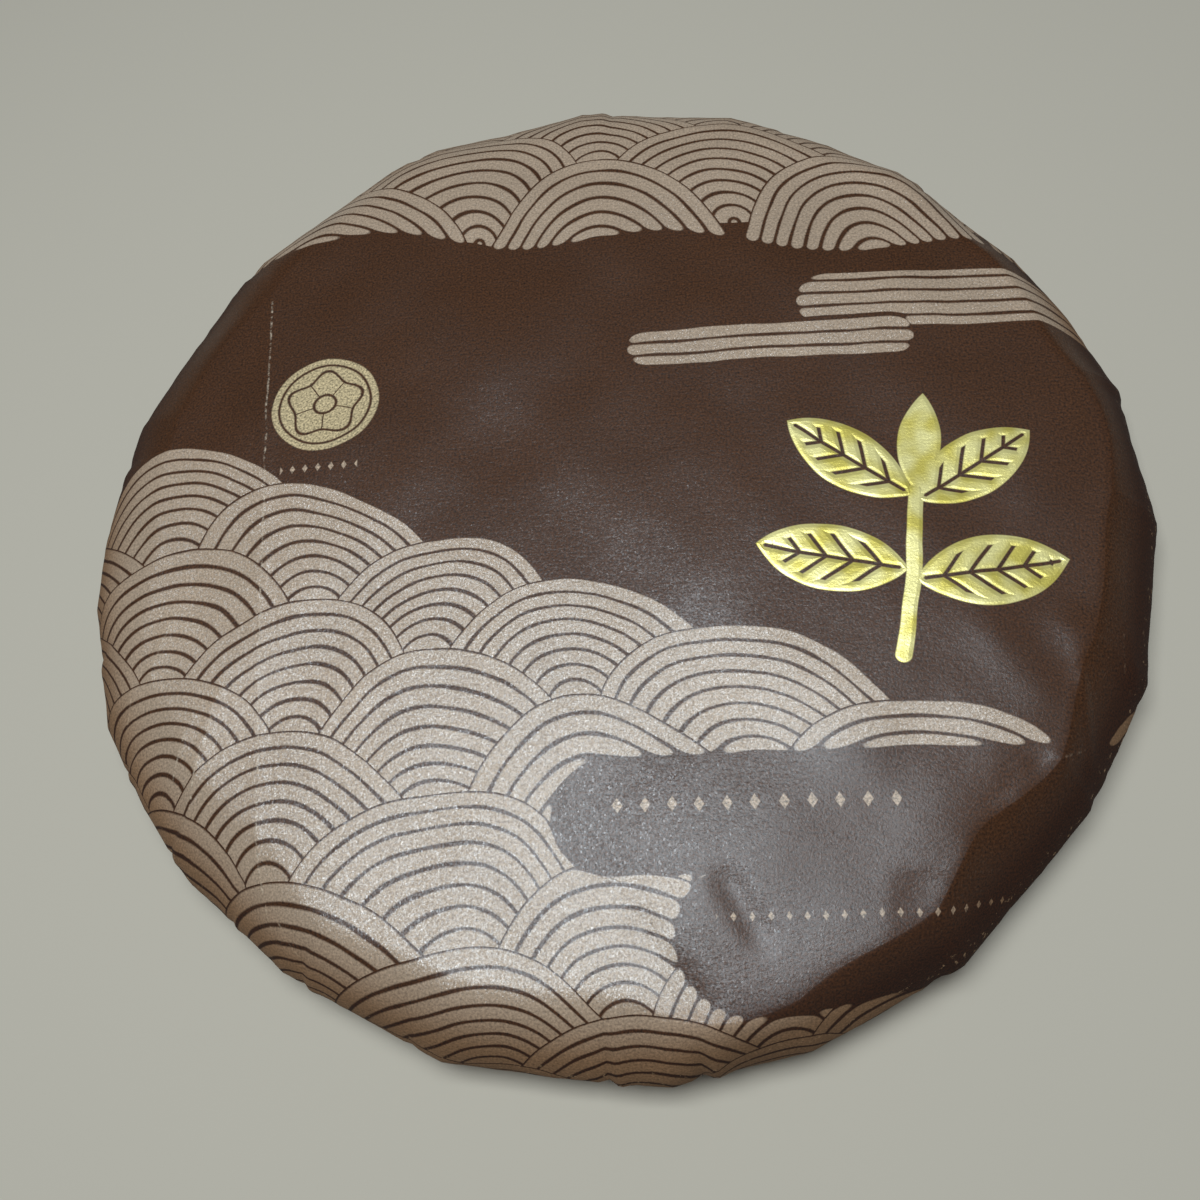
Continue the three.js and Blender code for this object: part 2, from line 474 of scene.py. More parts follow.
@dataclass
class PaperWrapper:
    """The sheet of paper that is drawn tight over the cake and folded underneath."""

    form: CakeForm
    pleat_step: float = 0.9 * MM
    gather_step: float = 1.7 * MM
    pleat_miss: float = 12 * MM
    miss_varies: float = 1.2 * MM
    miss_turn: float = 2.4
    line_ends: float = 1.3
    knob_height: float = 3.2 * MM
    knob_twist: float = 1.1  # radians that the end of the sheet is twisted round
    edge_wander: float = 0.35 * MM
    top_facets: tuple[float, float] = (62 * MM, 96 * MM)
    under_facets: tuple[float, float] = (48 * MM, 96 * MM)
    gather: tuple[float, float] = (39 * MM, 19 * MM)
    knob: tuple[float, float] = (14 * MM, 3 * MM)
    waves_end: tuple[float, float] = (92 * MM, 72 * MM)
    wave_height: float = 0.28 * MM
    waves: tuple[tuple[float, float, float, float], ...] = (
        (61 * MM, 76.25 * MM, 0.0, 0.0), (37 * MM, 46.25 * MM, 1.7, -0.9), (23 * MM, 28.75 * MM, 3.4, -1.8))
    leaf_lumps: tuple[tuple[float, float], ...] = (
        (24 * MM, 0.36 * MM), (11 * MM, 0.13 * MM), (5 * MM, 0.035 * MM))
    # Fine and broad wrinkles: how close together they lie, and how far each runs on over the rim.
    wrinkles: tuple[tuple[float, float], ...] = ((24.0, 22 * MM), (9.0, 30 * MM))
    fine_wrinkle: float = 0.24 * MM
    broad_wrinkle: float = 0.20 * MM
    foot_start: float = 1.1  # as a share of the hollow's radius
    foot_end: float = 0.8  # as a share of the foot's radius
    edge_wave: float = 14 * MM
    rings: list[Ring] = field(init=False)
    lines: list[PaperLine] = field(init=False)

    def __post_init__(self) -> None:
        """Works out the rings and lines that the sheet is drawn on."""
        self.rings = self.form.rings()
        self.lines = self.form.paper_lines()

    def build(self, name: str) -> bpy.types.Object:
        """Makes the wrapper.

        Args:
            name: the new piece's name.

        Returns:
            The piece, closed and smooth but for the pleats' folded edges, with its print's map.
        """
        mesh = bmesh.new()
        bmesh.ops.create_grid(mesh, x_segments=len(self.lines), y_segments=len(self.rings) - 1, size=1.0)
        places = {v: self.grid_place(v.co) for v in mesh.verts}
        for vert, (ring, line) in places.items():
            vert.co = self.place(self.rings[ring], self.lines[line % len(self.lines)])
        self.mark_folds(mesh, places)
        self.map_print(mesh, places)
        bmesh.ops.remove_doubles(mesh, verts=mesh.verts, dist=1e-7)
        bmesh.ops.recalc_face_normals(mesh, faces=mesh.faces)
        for face in mesh.faces:
            face.smooth = True
        self.stand_on_footprint(mesh)
        data = bpy.data.meshes.new(name)
        mesh.to_mesh(data)
        mesh.free()
        piece = bpy.data.objects.new(name, data)
        bpy.context.collection.objects.link(piece)
        return piece

    def grid_place(self, flat: Vector) -> tuple[int, int]:
        """Reads which ring and which line of the sheet a point of the starting grid is on.

        Args:
            flat: the point, with X from -1 to 1 across the lines and Y from -1 to 1 across the rings.

        Returns:
            The ring's number and the line's. The last line is the first one again.
        """
        return round((flat.y + 1) / 2 * (len(self.rings) - 1)), round((flat.x + 1) / 2 * len(self.lines))

    def place(self, ring: Ring, line: PaperLine) -> Vector:
        """Moves a point of the round section to where the paper lies.

        Args:
            ring: the point's ring.
            line: the point's line of the sheet.

        Returns:
            The point's place.
        """
        radius, height = ring.radius, ring.height
        if not ring.is_under:
            radius, height = self.top_place(ring, line.angle)
        facets = self.under_facets if ring.is_under else self.top_facets
        flat = radius * lerp(1.0, line.rim / self.form.rim_radius, blend(radius, *facets))
        angle = line.angle + (self.lean(ring, line) if ring.is_under else 0.0)
        height += self.pleat_relief(ring, line) if ring.is_under else 0.0
        base = Vector((flat * math.cos(angle), flat * math.sin(angle), height))
        facing = Vector((ring.out * math.cos(angle), ring.out * math.sin(angle), ring.up))
        return base + facing * self.relief(base, ring, line)

    def top_place(self, ring: Ring, angle: float) -> tuple[float, float]:
        """Moves the top's section to where the shoulder starts in one direction, and gives it its crispness.

        Args:
            ring: a ring of the top or the shoulder.
            angle: where round the cake it is read.

        Returns:
            The radius and height there.
        """
        form = self.form
        start = form.shoulder_start(angle)
        if ring.radius <= form.dome_radius:
            radius = ring.radius * start / form.dome_radius
            return radius, form.dome_height(radius)
        tight = blend(math.cos(angle - form.crisp_towards), *form.crisp_range)
        out = (ring.radius - form.dome_radius) / (form.rim_radius - form.dome_radius)
        turn = math.acos(min(out ** (form.soft_shoulder / 2), 1.0))
        power = lerp(form.soft_shoulder, form.crisp_shoulder, tight)
        return form.shoulder_point(1 - turn * 2 / math.pi, power, start)

    def lean(self, ring: Ring, line: PaperLine) -> float:
        """Gives how far round a pleat's straight line has come underneath.

        Args:
            ring: the ring that it crosses.
            line: the line.

        Returns:
            The turn in radians, from where the line crosses the rim.
        """
        misses = [self.pleat_miss + self.miss_varies * math.sin(self.miss_turn * (n % len(PLEATS)))
                  for n in (line.pleat, line.pleat + 1)]
        miss = lerp(*misses, line.share)
        form = self.form
        straight = math.asin(miss / max(ring.radius, miss * self.line_ends))
        straight -= math.asin(miss / form.rim_radius)
        twist = self.knob_twist * blend(ring.radius, self.knob[0], 0.0)
        wander = noise.noise(Vector((ring.radius / self.edge_wave, line.pleat * 5.3, 0.0)))
        edge = blend(ring.radius, form.hollow_radius * self.foot_start, form.foot_radius * self.foot_end)
        return straight + twist + edge * self.edge_wander * wander / max(ring.radius, self.knob[0])

    def pleat_relief(self, ring: Ring, line: PaperLine) -> float:
        """Gives how far the folded paper underneath stands from the smooth section.

        Args:
            ring: the ring where it is read.
            line: the line where it is read.

        Returns:
            The height to add.
        """
        form = self.form
        step = lerp(self.pleat_step, self.gather_step, blend(ring.radius, *self.gather))
        shown = blend(ring.radius, 0.0, form.hollow_floor)
        shown *= blend(ring.radius, form.rim_radius, form.foot_radius)
        return step * shown * line.rise - self.knob_height * blend(ring.radius, *self.knob)

    def relief(self, base: Vector, ring: Ring, line: PaperLine) -> float:
        """Gives how far the paper stands out from the pressed cake's even form.

        Args:
            base: the place on the even form.
            ring: the place's ring.
            line: the place's line of the sheet.

        Returns:
            The distance along the ring's outward direction.
        """
        out = self.tuck_relief(ring, line) + self.rim_wrinkles(base, ring)
        if ring.is_under:
            return out
        x, y = math.tau * base.x, math.tau * base.y
        waves = sum(math.sin(x / long + x0) * math.cos(y / wide + y0) / (i + 1)
                    for i, (long, wide, x0, y0) in enumerate(self.waves))
        lumps = sum(tall * noise.noise(base / size + Vector((0.0, 0.0, 7.0 * i)))
                    for i, (size, tall) in enumerate(self.leaf_lumps))
        out += self.wave_height * waves * blend(ring.radius, *self.waves_end) + lumps
        return out + sum(fold.relief(base) for fold in FOLD_LINES + DENTS)

    def tuck_relief(self, ring: Ring, line: PaperLine) -> float:
        """Gives the tucks of paper at the rim.

        Args:
            ring: the ring where they are read.
            line: the line where they are read.

        Returns:
            The distance that they stand out.
        """
        total = 0.0
        if ring.radius < min(tuck.start for tuck in TUCKS):
            return total
        for tuck in TUCKS:
            aside = turn_between(line.angle, math.radians(tuck.degrees)) * self.form.rim_radius
            if abs(aside) > 6 * tuck.width:
                continue
            start = self.form.foot_radius if ring.is_under else tuck.start
            total += tuck.depth * tuck.height(aside) * blend(ring.radius, start, self.form.rim_radius)
        return total

    def rim_wrinkles(self, base: Vector, ring: Ring) -> float:
        """Gives the fine creases that run over the rim, where the paper is drawn together.

        Args:
            base: the place.
            ring: the place's ring.

        Returns:
            The distance that they stand out.
        """
        outer = self.form.foot_radius if ring.is_under else self.form.dome_radius
        reach = blend(ring.radius, outer, self.form.rim_radius)
        if reach == 0.0:
            return 0.0
        angle = math.atan2(base.y, base.x)
        around = Vector((math.cos(angle), math.sin(angle)))
        fine, broad = (noise.noise(Vector((*(around * close), ring.run / long + 5.0 * i)))
                       for i, (close, long) in enumerate(self.wrinkles))
        return reach * (self.fine_wrinkle * (0.3 - abs(fine)) + self.broad_wrinkle * broad)

    def mark_folds(self, mesh: bmesh.types.BMesh, places: Places) -> None:
        """Keeps the shading sharp along the pleats' folded edges.

        Args:
            mesh: the wrapper's mesh.
            places: each vertex's ring and line.
        """
        for edge in mesh.edges:
            (ring, line), (_, other) = (places[v] for v in edge.verts)
            if line == other and self.lines[line % len(self.lines)].is_fold and self.rings[ring].is_under:
                edge.smooth = False

    def map_print(self, mesh: bmesh.types.BMesh, places: Places) -> None:
        """Lays the flat print on the sheet: evenly over the top, and underneath in a strip a pleat.

        Args:
            mesh: the wrapper's mesh.
            places: each vertex's ring and line.
        """
        layer = mesh.loops.layers.uv.new("PrintSheet")
        runs = self.paper_runs(places)
        rim_ring = next(i for i, ring in enumerate(self.rings) if ring.is_under)
        for face in mesh.faces:
            pleat = self.lines[min(places[v][1] for v in face.verts)].pleat
            start, width = pleat_span(pleat)
            middle = start + width / 2
            for loop in face.loops:
                number, column = places[loop.vert]
                ring, line = self.rings[number], self.lines[column % len(self.lines)]
                flat = runs[number, column] * Vector((math.cos(line.angle), math.sin(line.angle)))
                if ring.is_under:
                    strip = self.strip_place(loop.vert.co, middle, runs[rim_ring, column])
                    flat = flat.lerp(strip, blend(ring.radius, self.form.rim_radius, self.form.foot_radius))
                loop[layer].uv = (flat.x / (SHEET_MM * MM) + 0.5, flat.y / (SHEET_MM * MM) + 0.5)

    @staticmethod
    def paper_runs(places: Places) -> dict[tuple[int, int], float]:
        """Measures the paper from the middle of the top out along each line.

        Args:
            places: each vertex's ring and line.

        Returns:
            The run to each ring on each line.
        """
        at = {spot: vert.co for vert, spot in places.items()}
        runs = {}
        for ring, line in sorted(at):
            step = (at[ring, line] - at[ring - 1, line]).length if ring else 0.0
            runs[ring, line] = runs.get((ring - 1, line), 0.0) + step
        return runs

    def strip_place(self, place: Vector, middle: float, rim_run: float) -> Vector:
        """Unfolds a point of a pleat to where it lies on the flat sheet.

        Args:
            place: the point.
            middle: the angle of the pleat's middle.
            rim_run: the paper's run from the middle of the top to the rim.

        Returns:
            The point on the sheet.
        """
        out = Vector((math.cos(middle), math.sin(middle)))
        aside = Vector((-out.y, out.x))
        flat = place.to_2d()
        return out * (rim_run + self.form.rim_radius - flat.dot(out)) + aside * flat.dot(aside)

    @staticmethod
    def stand_on_footprint(mesh: bmesh.types.BMesh) -> None:
        """Centres the wrapper on the solid model's box and stands it at that box's foot.

        Args:
            mesh: the wrapper's mesh.
        """
        low, high = (Vector(corner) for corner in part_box(NODE))
        own_low = Vector([min(v.co[i] for v in mesh.verts) for i in range(3)])
        own_high = Vector([max(v.co[i] for v in mesh.verts) for i in range(3)])
        shift = (low + high - own_low - own_high) / 2
        shift.z = low.z - own_low.z
        bmesh.ops.translate(mesh, vec=shift, verts=mesh.verts)


@dataclass(frozen=True)
class Leaf:
    """A leaf of the foil sprig: where it starts and ends, and its width, in millimetres on the sheet."""

    start: tuple[float, float]
    tip: tuple[float, float]
    width: float

    def arcs(self) -> tuple[tuple[float, float, float], tuple[float, float, float], float]:
        """Returns the middles of the two circles whose overlap is the leaf, and their radius."""
        start, tip = Vector(self.start), Vector(self.tip)
        half_length, half_width = (tip - start).length / 2, self.width / 2
        radius = (half_length ** 2 + half_width ** 2) / (2 * half_width)
        along = (tip - start).normalized()
        aside = Vector((-along.y, along.x)) * (radius - half_width)
        middle = (start + tip) / 2
        return (*(middle + aside), 0.0), (*(middle - aside), 0.0), radius


class Fill(Enum):
    """How a field of the print is filled."""

    GROUND = "plain dark ground"
    LINES = "pale, with level dark lines"


@dataclass(frozen=True)
class MistBar:
    """A long bar of mist with round ends: its middle, half length and half width in millimetres."""

    middle: tuple[float, float]
    reach: float
    half_width: float
    fill: Fill


MIST_BARS = (
    MistBar((50, -60), 49, 9.5, Fill.GROUND),
    MistBar((66, -79), 44, 11.5, Fill.GROUND),
    MistBar((80, 36), 36, 6.3, Fill.LINES),
    MistBar((32, 28), 22, 4.4, Fill.LINES),
)

# The rows of lozenges: each one's middle, half its length, half the pitch, and half a lozenge's height.
MARK_ROWS = (
    ((-52.0, 7.0), 7.5, 1.25, 0.8),
    ((24.0, -58.5), 25.0, 2.2, 1.25),
    ((42.0, -76.0), 25.0, 1.4, 0.7),
)

SPRIG_LEAVES = (
    Leaf((54.0, -6.0), (34.0, 10.0), 11.5),
    Leaf((55.0, -7.0), (76.0, 6.0), 11.5),
    Leaf((52.0, -20.0), (27.0, -14.0), 12.5),
    Leaf((53.0, -22.0), (79.0, -19.0), 12.5),
)
SPRIG_BUD = Leaf((54.8, -5.5), (58.5, 14.5), 7.5)
SPRIG_STEMS = (((49.5, -35.0), (52.8, -21.0)), ((52.8, -21.0), (54.8, -5.0)))


@dataclass(frozen=True)
class PrintedPaper:
    """Pearl-coated art paper, offset printed in two inks and stamped with gold foil.

    The pearl coating gives a satin sheen that breaks up into fine sparks. The dark ink is a warm brown, and
    the pale one a flat tan. The foil is bright metal, pressed a little into the paper. Towards the rim the
    colour is darkened as painted shade where the paper turns down, and the paper is duller from handling.
    Lengths are in millimetres on the sheet.
    """

    ground: str = "#422612"
    pale: str = "#a58e78"
    seal: str = "#b39f7a"
    foil: str = "#fff2a6"
    foil_deep: str = "#e2d068"
    worn: str = "#cbb9a2"
    # The paper's own surface: the coating's grain, how strongly it shows on the dark and the pale ink, the
    # broad unevenness of the ink, the fibres, and how deep each of them and the foil's edge is pressed.
    roughness: float = 0.5
    grain: float = 0.42
    grain_contrast: tuple[float, float] = (3.4, 1.8)
    grain_height: float = 0.04
    mottle: float = 16.0
    mottle_depth: float = 0.36
    fibre: float = 0.9
    fibre_height: float = 0.05
    foil_press: float = 0.08
    foil_cloud: float = 5.0
    # The pearl varnish: the size and tilt of its flakes and of the pale ink's finer pearl, how much of it
    # there is, and how much more on the flakes that glint, on the pale ink and on the foil.
    flake: float = 0.23
    flake_tilt: float = 0.14
    pearl: float = 0.10
    pearl_tilt: float = 0.50
    varnish: tuple[float, float] = (0.10, 0.25)
    spark: float = 0.25
    spark_share: float = 0.08
    pale_varnish: float = 3.5
    foil_varnish: float = 0.1
    # How far from the middle the varnish is rubbed off, and where the paper is darkened and handled towards
    # the rim. The tint is painted shade where the paper turns down, and the roughness comes from handling.
    rubbed_rim: tuple[float, float] = (86.0, 98.0)
    shaded_handled_rim: tuple[float, float] = (86.0, 100.0)
    # painted shade: darkens and deepens the colour where the paper turns down over the rim
    rim_painted_shade_tint: tuple[float, float, float, float] = (0.56, 0.42, 0.30, 1.0)
    handled_roughness: float = 0.95
    foil_roughness: float = 0.37
    foil_metal: float = 0.60
    # The drawn hills and the mist between them.
    line_pitch: float = 2.9
    line_width: float = 0.66
    hill_radius: float = 27.0
    hill_row: float = 11.34  # from one row of hills to the next
    hill_spread: float = 74.0
    hill_wander: float = 34.0
    near_hills: tuple[float, float] = (-0.31, -33.5)  # the slope and height of the line below which they lie
    far_hills: float = 36.0
    far_edge: float = 38.0
    mist_edge: tuple[float, float] = (-0.10, 55.0)
    mist_wave: tuple[float, float] = (0.105, 2.4)
    feather: float = 0.13  # half the width over which a printed edge goes from one colour to the next
    # The seal, and the sprig's strokes and veins.
    seal_place: tuple[float, float] = (-52.0, 21.0)
    seal_radius: float = 10.4
    seal_border: float = 8.9
    petal_reach: float = 6.6
    petal_depth: float = 0.13
    flower_heart: float = 2.1
    seal_line: float = 0.3  # half the width of the seal's lines
    border_line: float = 0.26
    stroke: float = 2.6
    vein: float = 0.75
    vein_pitch: float = 4.6
    leaf_edge: float = 0.9
    leaf_margin: float = 1.7
    # Where the ink is worn off: in a thin line on each fold, and in flecks round the rim.
    worn_speckle: float = 1.4
    worn_line: tuple[float, float] = (0.05, 0.28)
    worn_share: float = 0.6
    fleck_radius: float = 103.5
    fleck_reach: tuple[float, float] = (1.5, 4.5)

    def build(self) -> bpy.types.Material:
        """Returns the material."""
        material = bpy.data.materials.new("pearl_paper_printed")
        material.use_nodes = True
        tree = material.node_tree
        tree.nodes.clear()
        sheet = add_node(tree, "UVMap", uv_map="PrintSheet")
        flat = add_node(tree, "VectorMath", (sheet, (0.5, 0.5, 0.0)), operation="SUBTRACT")
        flat = add_node(tree, "VectorMath", (flat, (SHEET_MM, SHEET_MM, 0.0)), operation="MULTIPLY")
        drawn = self.wander(tree, flat, 11.0, 0.9)
        pale = self.pale_ink(tree, flat, drawn)
        seal = self.seal_ink(tree, drawn)
        marks = self.small_marks(tree, drawn)
        foil = self.foil_depth(tree, drawn)
        foil_mask = self.cut(tree, foil, 0.0)
        worn = self.worn_ink(tree, flat)
        grain = add_node(tree, "TexNoise", {"Vector": flat, "Scale": 1 / self.grain, "Detail": 2.0,
                                            "Roughness": 0.65})
        mottle = add_node(tree, "TexNoise", {"Vector": flat, "Scale": 1 / self.mottle, "Detail": 4.0})
        colour = self.mix(tree, pale, linear(self.ground), linear(self.pale))
        colour = self.mix(tree, seal, colour, linear(self.seal))
        colour = self.mix(tree, marks, colour, linear(self.pale))
        colour = self.mix(tree, worn, colour, linear(self.worn))
        contrast = add_node(tree, "MapRange", (pale, 0.0, 1.0, *self.grain_contrast))
        shade = add_node(tree, "Math", (grain, 0.5), operation="SUBTRACT")
        shade = add_node(tree, "Math", (shade, contrast, 1.0), operation="MULTIPLY_ADD")
        patch = (mottle, self.mottle_depth, 1.0 - self.mottle_depth / 2)
        patch = add_node(tree, "Math", patch, operation="MULTIPLY_ADD")
        shade = add_node(tree, "Math", (shade, patch), operation="MULTIPLY")
        colour = add_node(tree, "VectorMath", {0: colour, "Scale": shade}, operation="SCALE")
        # Painted shade: the colour darkens towards the rim, where the paper turns down away from the light.
        # The same ramp makes the paper rougher there, from handling.
        rim_shade_and_handling = add_node(tree, "VectorMath", (flat,), "Value", operation="LENGTH")
        rim_shade_and_handling = add_node(tree, "MapRange", (rim_shade_and_handling, *self.shaded_handled_rim, 0.0, 1.0),
                           interpolation_type="SMOOTHSTEP")
        rim_shade = self.mix(tree, rim_shade_and_handling, (1.0, 1.0, 1.0, 1.0), self.rim_painted_shade_tint)
        colour = add_node(tree, "VectorMath", (colour, rim_shade), operation="MULTIPLY")
        gold = add_node(tree, "TexNoise", {"Vector": flat, "Scale": 1 / self.foil_cloud, "Detail": 1.0})
        gold = add_node(tree, "MapRange", (gold, 0.38, 0.64, 0.0, 1.0))
        gold = self.mix(tree, gold, linear(self.foil), linear(self.foil_deep))
        colour = self.mix(tree, foil_mask, colour, gold)
        rough = add_node(tree, "MapRange", (rim_shade_and_handling, 0.0, 1.0, self.roughness, self.handled_roughness))
        rough = add_node(tree, "Mix", (foil_mask, None, rough, self.foil_roughness))
        metal = add_node(tree, "Math", (foil_mask, self.foil_metal), operation="MULTIPLY")
        bump = self.surface_bump(tree, flat, grain, foil)
        varnish, flake_normal = self.pearl_flakes(tree, flat, bump, foil_mask, pale)
        shader = add_node(tree, "BsdfPrincipled", {
            "Base Color": colour, "Roughness": rough, "Metallic": metal, "Normal": bump, "IOR": 1.35,
            "Coat Weight": varnish, "Coat Roughness": 0.30, "Coat IOR": 2.0, "Coat Normal": flake_normal})
        end = tree.nodes.new("ShaderNodeOutputMaterial")
        tree.links.new(shader, end.inputs["Surface"])
        return material

    @staticmethod
    def mix(tree: Tree, share: object, below: object, above: object) -> Socket:
        """Lays one colour over another.

        Args:
            tree: the material's node tree.
            share: how much of the upper colour shows.
            below: the lower colour.
            above: the upper colour.

        Returns:
            The mixed colour.
        """
        return add_node(tree, "Mix", {0: share, 6: below, 7: above}, 2, data_type="RGBA")

    def cut(self, tree: Tree, distance: Socket, edge: float) -> Socket:
        """Turns a distance into a printed shape with a clean edge.

        Args:
            tree: the material's node tree.
            distance: the distance to read, in millimetres, smaller inside.
            edge: where the shape ends.

        Returns:
            1 inside the shape and 0 outside.
        """
        return add_node(tree, "MapRange", (distance, edge - self.feather, edge + self.feather, 1.0, 0.0))

    @staticmethod
    def wander(tree: Tree, flat: Socket, size: float, amount: float) -> Socket:
        """Moves the sheet's places a little this way and that, as a hand-drawn line wanders.

        Args:
            tree: the material's node tree.
            flat: the place on the sheet, in millimetres.
            size: how far apart the movements lie.
            amount: how far they go.

        Returns:
            The moved place.
        """
        drift = add_node(tree, "TexNoise", {"Vector": flat, "Scale": 1 / size, "Detail": 1.0}, "Color")
        drift = add_node(tree, "VectorMath", (drift, (0.5, 0.5, 0.5)), operation="SUBTRACT")
        drift = add_node(tree, "VectorMath", (drift, (amount, amount, 0.0)), operation="MULTIPLY")
        return add_node(tree, "VectorMath", (flat, drift), operation="ADD")

    @staticmethod
    def away_from_line(tree: Tree, place: Socket, start: tuple[float, float],
                       end: tuple[float, float]) -> Socket:
        """Measures how far a place is from a straight line between two points.

        Args:
            tree: the material's node tree.
            place: the place on the sheet.
            start: the line's start.
            end: its end.

        Returns:
            The distance.
        """
        along = Vector(end) - Vector(start)
        place = add_node(tree, "VectorMath", (place, (*start, 0.0)), operation="SUBTRACT")
        share = (*(along / along.length_squared), 0.0)
        share = add_node(tree, "VectorMath", (place, share), "Value", operation="DOT_PRODUCT")
        share = add_node(tree, "Math", (share, 1.0), operation="MULTIPLY", use_clamp=True)
        foot = add_node(tree, "VectorMath", {0: (*along, 0.0), "Scale": share}, operation="SCALE")
        return add_node(tree, "VectorMath", (place, foot), "Value", operation="DISTANCE")

    def hill_rings(self, tree: Tree, drawn: Socket) -> tuple[Socket, Socket]:
        """Draws rows of overlapping round hills, each lower row in front of the one above.

        Args:
            tree: the material's node tree.
            drawn: the place on the sheet.

        Returns:
            How far the place is inside its own hill's edge, and 1 where a hill covers it.
        """
        spread = self.wander(tree, drawn, self.hill_spread, self.hill_wander)
        along = add_node(tree, "SeparateXYZ", (spread,), "X")
        up = along.node.outputs["Y"]
        row = add_node(tree, "Math", (up, self.hill_row), operation="DIVIDE")
        row = add_node(tree, "Math", (row,), operation="FLOOR")
        inside, covered = 0.0, 0.0
        for ahead in (0.0, -1.0, -2.0):
            number = add_node(tree, "Math", (row, ahead), operation="ADD")
            level = add_node(tree, "Math", (number, self.hill_row), operation="MULTIPLY")
            odd = add_node(tree, "Math", (number, 2.0), operation="FLOORED_MODULO")
            shift = add_node(tree, "Math", (odd, self.hill_radius, along), operation="MULTIPLY_ADD")
            aside = add_node(tree, "Math", (shift, self.hill_radius, -self.hill_radius), operation="WRAP")
            above = add_node(tree, "Math", (up, level), operation="SUBTRACT")
            reach = add_node(tree, "CombineXYZ", (aside, above))
            reach = add_node(tree, "VectorMath", (reach,), "Value", operation="LENGTH")
            deep = add_node(tree, "Math", (self.hill_radius, reach), operation="SUBTRACT")
            own = add_node(tree, "Math", (along, aside), operation="SUBTRACT")
            field_there = self.hill_field(tree, own, level)
            covers = add_node(tree, "Math", (deep, 0.0), operation="GREATER_THAN")
            covers = add_node(tree, "Math", (covers, field_there), operation="MULTIPLY")
            inside = add_node(tree, "Mix", (covers, None, inside, deep))
            covered = add_node(tree, "Math", (covered, covers), operation="MAXIMUM")
        return inside, covered

    def hill_field(self, tree: Tree, along: Socket, up: Socket) -> Socket:
        """Says which hills are there: a near range below a falling line, and a far one at the top.

        Args:
            tree: the material's node tree.
            along: the X of a hill's middle.
            up: the Y of a hill's middle.

        Returns:
            1 for a hill that is there.
        """
        near = add_node(tree, "Math", (along, *self.near_hills), operation="MULTIPLY_ADD")
        near = add_node(tree, "Math", (up, near), operation="LESS_THAN")
        far = add_node(tree, "Math", (up, self.far_hills), operation="GREATER_THAN")
        return add_node(tree, "Math", (near, far), operation="MAXIMUM")

    def pale_ink(self, tree: Tree, flat: Socket, drawn: Socket) -> Socket:
        """Prints the pale ink: stripes that follow the hills and the mist, with round ends.

        Args:
            tree: the material's node tree.
            flat: the place on the sheet.
            drawn: the same place, moved as a hand-drawn line is.

        Returns:
            1 where the ink is pale.
        """
        inside, covered = self.hill_rings(tree, drawn)
        along = add_node(tree, "SeparateXYZ", (drawn,), "X")
        up = along.node.outputs["Y"]
        slope, height = self.mist_edge
        pace, swing = self.mist_wave
        wave = add_node(tree, "Math", (along, pace), operation="MULTIPLY")
        wave = add_node(tree, "Math", (wave,), operation="SINE")
        edge = add_node(tree, "Math", (wave, swing, height), operation="MULTIPLY_ADD")
        edge = add_node(tree, "Math", (along, slope, edge), operation="MULTIPLY_ADD")
        above = add_node(tree, "Math", (up, edge), operation="SUBTRACT")
        below = add_node(tree, "Math", (self.far_edge, up), operation="SUBTRACT")
        room = add_node(tree, "Math", (above, below), operation="MAXIMUM")
        lines = add_node(tree, "Math", (inside, 1 / self.line_pitch), operation="MULTIPLY")
        level = add_node(tree, "Math", (up, 1 / self.line_pitch), operation="MULTIPLY")
        in_bar = 0.0
        for bar in MIST_BARS:
            aside = add_node(tree, "VectorMath", (drawn, (*bar.middle, 0.0)), operation="SUBTRACT")
            aside = add_node(tree, "VectorMath", (aside,), operation="ABSOLUTE")
            aside = add_node(tree, "VectorMath", (aside, (bar.reach, 0.0, 0.0)), operation="SUBTRACT")
            aside = add_node(tree, "VectorMath", (aside, (0.0, 0.0, 0.0)), operation="MAXIMUM")
            away = add_node(tree, "VectorMath", (aside,), "Value", operation="LENGTH")
            away = add_node(tree, "Math", (away, bar.half_width), operation="SUBTRACT")
            if bar.fill is Fill.GROUND:
                room = add_node(tree, "Math", (room, away), operation="MINIMUM")
                continue
            deep = add_node(tree, "Math", (0.0, away), operation="SUBTRACT")
            within = add_node(tree, "Math", (deep, 0.0), operation="GREATER_THAN")
            lines = add_node(tree, "Mix", (within, None, lines, level))
            room = add_node(tree, "Math", (room, away), operation="MINIMUM")
            room = add_node(tree, "Math", (room, deep), operation="MAXIMUM")
            in_bar = add_node(tree, "Math", (in_bar, within), operation="MAXIMUM")
        covered = add_node(tree, "Math", (covered, in_bar), operation="MAXIMUM")
        return self.stripes(tree, flat, lines, room, covered)

